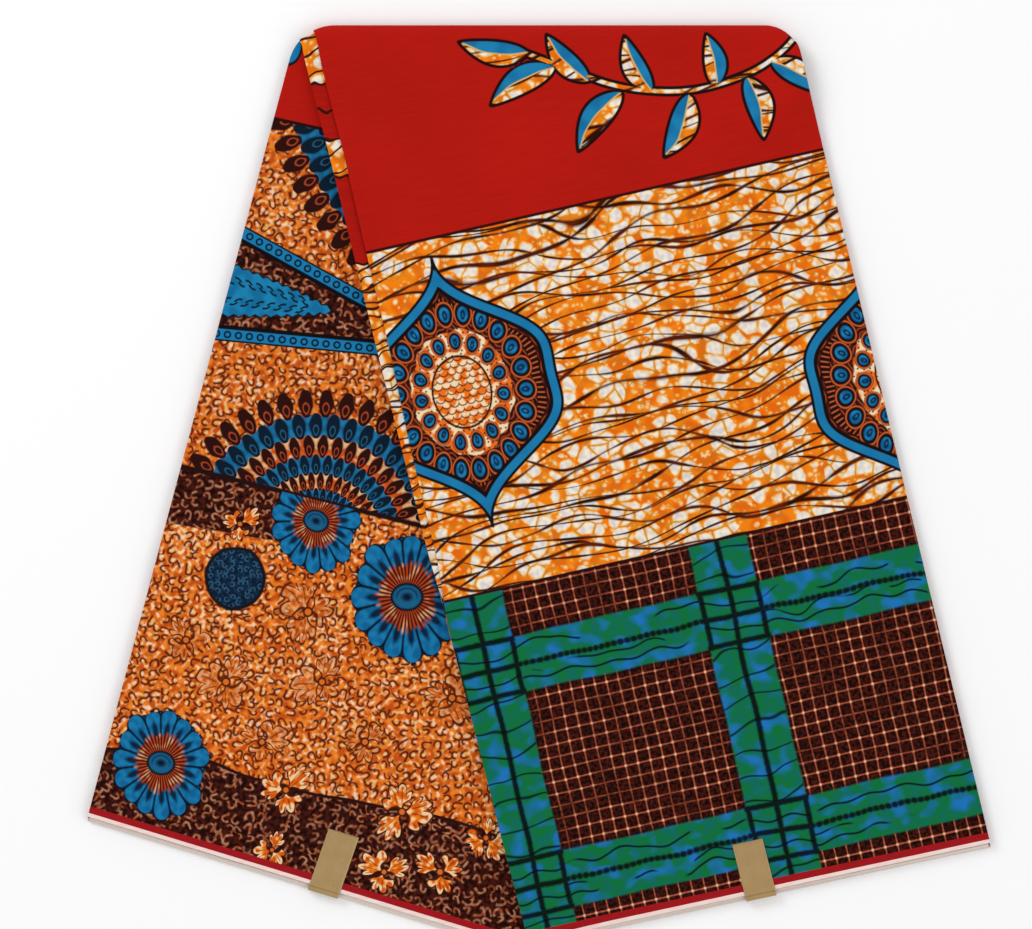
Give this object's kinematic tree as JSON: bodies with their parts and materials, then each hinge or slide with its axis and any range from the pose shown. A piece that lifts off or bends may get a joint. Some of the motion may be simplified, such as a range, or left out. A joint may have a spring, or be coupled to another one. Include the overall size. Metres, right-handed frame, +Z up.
{
  "type": "folded wax-print cloth",
  "caption": "Length of wax-print cotton folded into a flat panel bundle and folded over once, so that both hems fan out below the fold.",
  "frame": {"origin": "under the middle of the bounding box, on the surface that the cloth lies on", "axes": "+X to the right, +Y towards the top fold, +Z up out of the surface"},
  "size_m": [0.5866, 0.6068, 0.0129],
  "materials": {
    "front_print": "plain-woven cotton, wax print, matte with a faint sheen",
    "back_print": "plain-woven cotton, wax print, matte with a faint sheen",
    "hidden_print": "plain-woven cotton, wax print, matte",
    "label": "plain tan paper, smooth and matte"
  },
  "bodies": {
    "root": {"front_flap": "front_print", "second_fold": "front_print", "back_flap": "back_print", "folded_layers": "hidden_print", "label_front": "label", "label_back": "label"}
  },
  "joints": []
}
